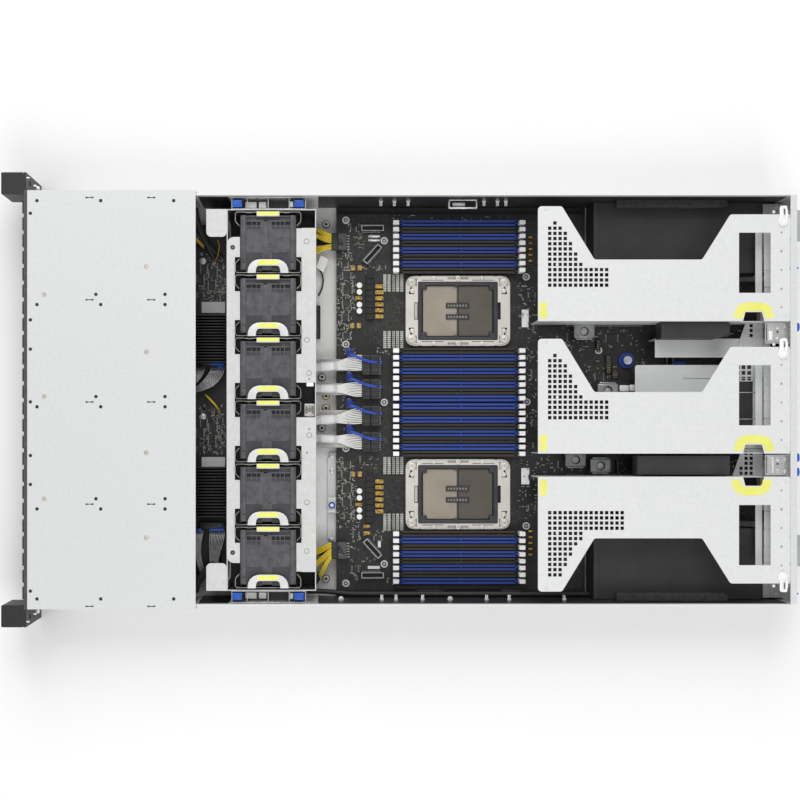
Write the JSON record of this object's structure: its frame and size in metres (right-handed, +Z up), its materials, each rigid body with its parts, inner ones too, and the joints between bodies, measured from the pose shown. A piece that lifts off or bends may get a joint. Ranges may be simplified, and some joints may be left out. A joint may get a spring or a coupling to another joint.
{
  "type": "rack server",
  "caption": "Two-unit rack server with its rear lid off: front drive bays, a row of lift-out fans, an open main board, card risers and rear power supplies.",
  "frame": {"origin": "middle of the whole length and width, on the underside", "axes": "+Y towards the rear with the power supplies, +Z up, +X to the right seen from the front"},
  "size_m": [0.4826, 0.8644, 0.0881],
  "materials": {
    "galvanised": "fine speckled zinc",
    "floor_steel": "satin",
    "dark_trim": "matt",
    "blue_touch": "matt",
    "fan_grey": "matt",
    "rotor_black": "matt",
    "circuit_board": "satin lacquer",
    "black_plastic": "matt",
    "white_plastic": "matt",
    "slot_blue": "matt",
    "socket_dark": "matt",
    "nickel": "satin",
    "fin_black": "black anodised",
    "screw_steel": "satin",
    "cable_white": "matt",
    "cable_black": "matt",
    "supply_steel": "satin",
    "foam_black": "matt film"
  },
  "bodies": {
    "chassis": {"chassis_tub": "floor_steel", "rear_panel": "floor_steel", "front_cover": "galvanised", "drive_cage": "dark_trim", "drive_boards": "circuit_board", "left_ear": "dark_trim", "right_ear": "dark_trim", "fan_walls": "galvanised", "fan_cage": "galvanised", "cage_grips": "blue_touch", "bridge_heatsinks": "fin_black", "motherboard": "circuit_board", "screws": "screw_steel", "board_parts": "black_plastic", "board_connectors": "black_plastic", "cpu_sockets": "socket_dark", "socket_frames": "nickel", "dimm_slots_blue": "slot_blue", "dimm_slots_black": "black_plastic", "lock_strip": "galvanised", "data_cables": "cable_white", "power_cables": "cable_black", "rear_ports": "nickel", "rear_bay_frame": "galvanised", "air_ducts": "foam_black"},
    "trays_1": {"tray_bank_1": "supply_steel"},
    "levers_1": {"lever_bank_1": "dark_trim"},
    "trays_2": {"tray_bank_2": "supply_steel"},
    "levers_2": {"lever_bank_2": "dark_trim"},
    "trays_3": {"tray_bank_3": "supply_steel"},
    "levers_3": {"lever_bank_3": "dark_trim"},
    "fan_1": {"fan_module_1": "fan_grey"},
    "rotor_1": {"fan_rotor_1": "rotor_black"},
    "fan_2": {"fan_module_2": "fan_grey"},
    "rotor_2": {"fan_rotor_2": "rotor_black"},
    "fan_3": {"fan_module_3": "fan_grey"},
    "rotor_3": {"fan_rotor_3": "rotor_black"},
    "fan_4": {"fan_module_4": "fan_grey"},
    "rotor_4": {"fan_rotor_4": "rotor_black"},
    "fan_5": {"fan_module_5": "fan_grey"},
    "rotor_5": {"fan_rotor_5": "rotor_black"},
    "fan_6": {"fan_module_6": "fan_grey"},
    "rotor_6": {"fan_rotor_6": "rotor_black"},
    "riser_1": {"riser_cage_1": "galvanised"},
    "riser_catch_1": {"riser_latch_1": "galvanised"},
    "riser_2": {"riser_cage_2": "galvanised"},
    "riser_catch_2": {"riser_latch_2": "galvanised"},
    "riser_3": {"riser_cage_3": "galvanised"},
    "riser_catch_3": {"riser_latch_3": "galvanised"},
    "supply_1": {"power_supply_1": "supply_steel"},
    "supply_catch_1": {"psu_latch_1": "blue_touch"},
    "supply_2": {"power_supply_2": "supply_steel"},
    "supply_catch_2": {"psu_latch_2": "blue_touch"},
    "power_button_cap": {"power_button": "white_plastic"},
    "id_button_cap": {"id_button": "blue_touch"},
    "board_lock": {"lock_slider": "blue_touch"},
    "bay_knob": {"board_knob": "blue_touch"},
    "front_slot_latches": {"dimm_latches_front": "white_plastic"},
    "rear_slot_latches": {"dimm_latches_rear": "white_plastic"},
    "adaptor": {"ocp_module": "circuit_board"}
  },
  "joints": [
    {"name": "trays_1_slide", "type": "slide", "parent": "chassis", "child": "trays_1", "axis": [0, -1, 0], "range_m": [0, 0.155]},
    {"name": "levers_1_hinge", "type": "hinge", "parent": "trays_1", "child": "levers_1", "pos_m": [0, -0.40965, 0.0095], "axis": [1, 0, 0], "range_deg": [0, 55]},
    {"name": "trays_2_slide", "type": "slide", "parent": "chassis", "child": "trays_2", "axis": [0, -1, 0], "range_m": [0, 0.155]},
    {"name": "levers_2_hinge", "type": "hinge", "parent": "trays_2", "child": "levers_2", "pos_m": [0, -0.40965, 0.0095], "axis": [1, 0, 0], "range_deg": [0, 55]},
    {"name": "trays_3_slide", "type": "slide", "parent": "chassis", "child": "trays_3", "axis": [0, -1, 0], "range_m": [0, 0.155]},
    {"name": "levers_3_hinge", "type": "hinge", "parent": "trays_3", "child": "levers_3", "pos_m": [0, -0.40965, 0.0095], "axis": [1, 0, 0], "range_deg": [0, 55]},
    {"name": "fan_1_lift", "type": "slide", "parent": "chassis", "child": "fan_1", "axis": [0, 0, 1], "range_m": [0, 0.09]},
    {"name": "rotor_1_spin", "type": "hinge", "parent": "fan_1", "child": "rotor_1", "pos_m": [-0.1675, -0.1493, 0.051], "axis": [0, 1, 0], "continuous": true},
    {"name": "fan_2_lift", "type": "slide", "parent": "chassis", "child": "fan_2", "axis": [0, 0, 1], "range_m": [0, 0.09]},
    {"name": "rotor_2_spin", "type": "hinge", "parent": "fan_2", "child": "rotor_2", "pos_m": [-0.1005, -0.1493, 0.051], "axis": [0, 1, 0], "continuous": true},
    {"name": "fan_3_lift", "type": "slide", "parent": "chassis", "child": "fan_3", "axis": [0, 0, 1], "range_m": [0, 0.09]},
    {"name": "rotor_3_spin", "type": "hinge", "parent": "fan_3", "child": "rotor_3", "pos_m": [-0.0335, -0.1493, 0.051], "axis": [0, 1, 0], "continuous": true},
    {"name": "fan_4_lift", "type": "slide", "parent": "chassis", "child": "fan_4", "axis": [0, 0, 1], "range_m": [0, 0.09]},
    {"name": "rotor_4_spin", "type": "hinge", "parent": "fan_4", "child": "rotor_4", "pos_m": [0.0335, -0.1493, 0.051], "axis": [0, 1, 0], "continuous": true},
    {"name": "fan_5_lift", "type": "slide", "parent": "chassis", "child": "fan_5", "axis": [0, 0, 1], "range_m": [0, 0.09]},
    {"name": "rotor_5_spin", "type": "hinge", "parent": "fan_5", "child": "rotor_5", "pos_m": [0.1005, -0.1493, 0.051], "axis": [0, 1, 0], "continuous": true},
    {"name": "fan_6_lift", "type": "slide", "parent": "chassis", "child": "fan_6", "axis": [0, 0, 1], "range_m": [0, 0.09]},
    {"name": "rotor_6_spin", "type": "hinge", "parent": "fan_6", "child": "rotor_6", "pos_m": [0.1675, -0.1493, 0.051], "axis": [0, 1, 0], "continuous": true},
    {"name": "riser_1_lift", "type": "slide", "parent": "chassis", "child": "riser_1", "axis": [0, 0, 1], "range_m": [0, 0.09]},
    {"name": "riser_catch_1_turn", "type": "hinge", "parent": "riser_1", "child": "riser_catch_1", "pos_m": [-0.1895, 0.3975, 0.086], "axis": [0, 0, 1], "range_deg": [0, 90]},
    {"name": "riser_2_lift", "type": "slide", "parent": "chassis", "child": "riser_2", "axis": [0, 0, 1], "range_m": [0, 0.09]},
    {"name": "riser_catch_2_turn", "type": "hinge", "parent": "riser_2", "child": "riser_catch_2", "pos_m": [-0.0487, 0.3975, 0.086], "axis": [0, 0, 1], "range_deg": [0, 90]},
    {"name": "riser_3_lift", "type": "slide", "parent": "chassis", "child": "riser_3", "axis": [0, 0, 1], "range_m": [0, 0.09]},
    {"name": "riser_catch_3_turn", "type": "hinge", "parent": "riser_3", "child": "riser_catch_3", "pos_m": [0.1875, 0.3975, 0.086], "axis": [0, 0, -1], "range_deg": [0, 90]},
    {"name": "supply_1_slide", "type": "slide", "parent": "chassis", "child": "supply_1", "axis": [0, 1, 0], "range_m": [0, 0.2]},
    {"name": "supply_catch_1_turn", "type": "hinge", "parent": "supply_1", "child": "supply_catch_1", "pos_m": [-0.14525, 0.41465, 0.0346], "axis": [0, 0, 1], "range_deg": [0, 15], "stiffness_Nm_per_rad": 0.05},
    {"name": "supply_2_slide", "type": "slide", "parent": "chassis", "child": "supply_2", "axis": [0, 1, 0], "range_m": [0, 0.2]},
    {"name": "supply_catch_2_turn", "type": "hinge", "parent": "supply_2", "child": "supply_catch_2", "pos_m": [0.21075, 0.41465, 0.0346], "axis": [0, 0, 1], "range_deg": [0, 15], "stiffness_Nm_per_rad": 0.05},
    {"name": "power_button_press", "type": "slide", "parent": "chassis", "child": "power_button_cap", "axis": [0, 1, 0], "range_m": [0, 0.0009], "stiffness_N_per_m": 400},
    {"name": "id_button_press", "type": "slide", "parent": "chassis", "child": "id_button_cap", "axis": [0, 1, 0], "range_m": [0, 0.0009], "stiffness_N_per_m": 400},
    {"name": "board_lock_slide", "type": "slide", "parent": "chassis", "child": "board_lock", "axis": [-1, 0, 0], "range_m": [0, 0.02]},
    {"name": "bay_knob_turn", "type": "hinge", "parent": "chassis", "child": "bay_knob", "pos_m": [-0.0452, 0.2458, 0.016], "axis": [0, 0, 1], "range_deg": [0, 90]},
    {"name": "front_latches_turn", "type": "hinge", "parent": "chassis", "child": "front_slot_latches", "pos_m": [0, -0.0102, 0.016], "axis": [1, 0, 0], "range_deg": [0, 40]},
    {"name": "rear_latches_turn", "type": "hinge", "parent": "chassis", "child": "rear_slot_latches", "pos_m": [0, 0.128, 0.016], "axis": [-1, 0, 0], "range_deg": [0, 40]},
    {"name": "adaptor_slide", "type": "slide", "parent": "chassis", "child": "adaptor", "axis": [0, 1, 0], "range_m": [0, 0.11]}
  ]
}
